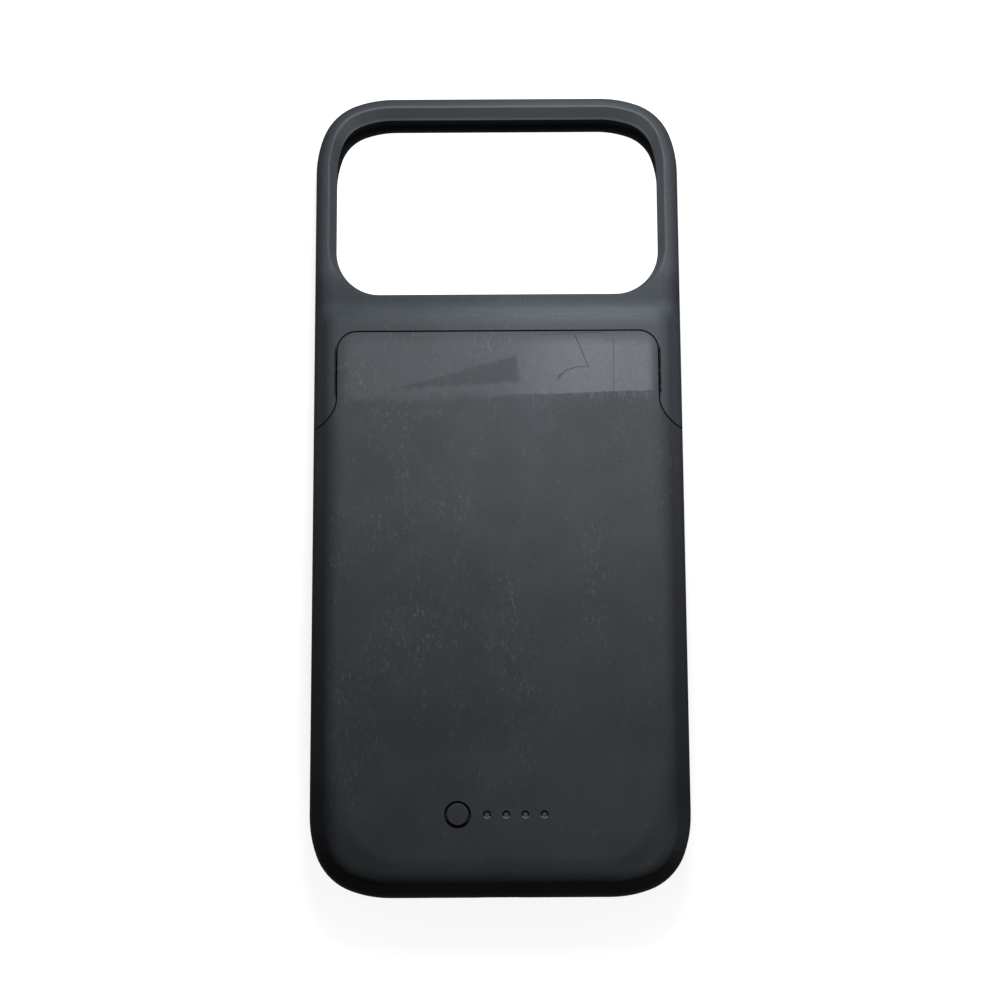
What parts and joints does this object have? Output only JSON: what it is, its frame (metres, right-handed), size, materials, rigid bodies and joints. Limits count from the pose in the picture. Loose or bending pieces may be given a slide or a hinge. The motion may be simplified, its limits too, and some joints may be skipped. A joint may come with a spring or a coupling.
{
  "type": "battery charging case",
  "caption": "Slide-on battery case for a phone: slim shell with a power cell, camera window cap, status button with lights, charging port and inner plug.",
  "frame": {"origin": "middle of the front rim's plane, on which the case lies with its back up", "axes": "+X across the width, +Y along the length towards the camera window, +Z out of the back panel"},
  "size_m": [0.0776, 0.1674, 0.0166],
  "materials": {
    "case_plastic": "dark grey fine-grained satin moulding",
    "cradle_plastic": "black matte moulding",
    "button_plastic": "dark grey satin moulding",
    "key_plastic": "dark grey satin moulding",
    "light_plastic": "smoky translucent moulding",
    "cell_foil": "silver laminate foil",
    "sheet_adhesive": "white adhesive sheet",
    "board_laminate": "green solder mask",
    "chip_epoxy": "black epoxy",
    "coil_ferrite": "grey ferrite",
    "led_resin": "pale resin",
    "switch_plastic": "black moulding",
    "plunger_plastic": "white moulding",
    "lead_sleeve": "red sleeve",
    "connector_steel": "drawn steel",
    "connector_plastic": "black moulding",
    "screw_steel": "plated steel"
  },
  "bodies": {
    "lower_case": {"back_shell": "case_plastic", "cradle": "cradle_plastic", "tact_switch": "switch_plastic", "light_pipes": "light_plastic", "status_leds": "led_resin", "main_board": "board_laminate", "charge_controller": "chip_epoxy", "power_inductor": "coil_ferrite", "board_screws": "screw_steel", "battery_cell": "cell_foil", "battery_tape": "sheet_adhesive", "protection_board": "board_laminate", "battery_leads": "lead_sleeve", "dock_board": "board_laminate", "port_shell": "connector_steel", "port_tongue": "connector_plastic", "plug_shell": "connector_steel", "plug_insert": "connector_plastic", "plug_collar": "cradle_plastic"},
    "cap": {"top_cap": "case_plastic"},
    "button": {"status_button": "button_plastic", "switch_plunger": "plunger_plastic"},
    "side_key_cover": {"side_key": "key_plastic"},
    "action_key_cover": {"action_key": "key_plastic"},
    "volume_up_cover": {"volume_up_key": "key_plastic"},
    "volume_down_cover": {"volume_down_key": "key_plastic"}
  },
  "joints": [
    {"name": "cap_slide", "type": "slide", "parent": "lower_case", "child": "cap", "axis": [0, 1, 0], "range_m": [0, 0.032]},
    {"name": "button_press", "type": "slide", "parent": "lower_case", "child": "button", "axis": [0, 0, -1], "range_m": [0, 0.0004], "stiffness_N_per_m": 1500},
    {"name": "side_key_press", "type": "slide", "parent": "cap", "child": "side_key_cover", "axis": [1, 0, 0], "range_m": [0, 0.00035], "stiffness_N_per_m": 1500},
    {"name": "action_key_press", "type": "slide", "parent": "cap", "child": "action_key_cover", "axis": [-1, 0, 0], "range_m": [0, 0.00035], "stiffness_N_per_m": 1500},
    {"name": "volume_up_press", "type": "slide", "parent": "cap", "child": "volume_up_cover", "axis": [-1, 0, 0], "range_m": [0, 0.00035], "stiffness_N_per_m": 1500},
    {"name": "volume_down_press", "type": "slide", "parent": "cap", "child": "volume_down_cover", "axis": [-1, 0, 0], "range_m": [0, 0.00035], "stiffness_N_per_m": 1500}
  ]
}
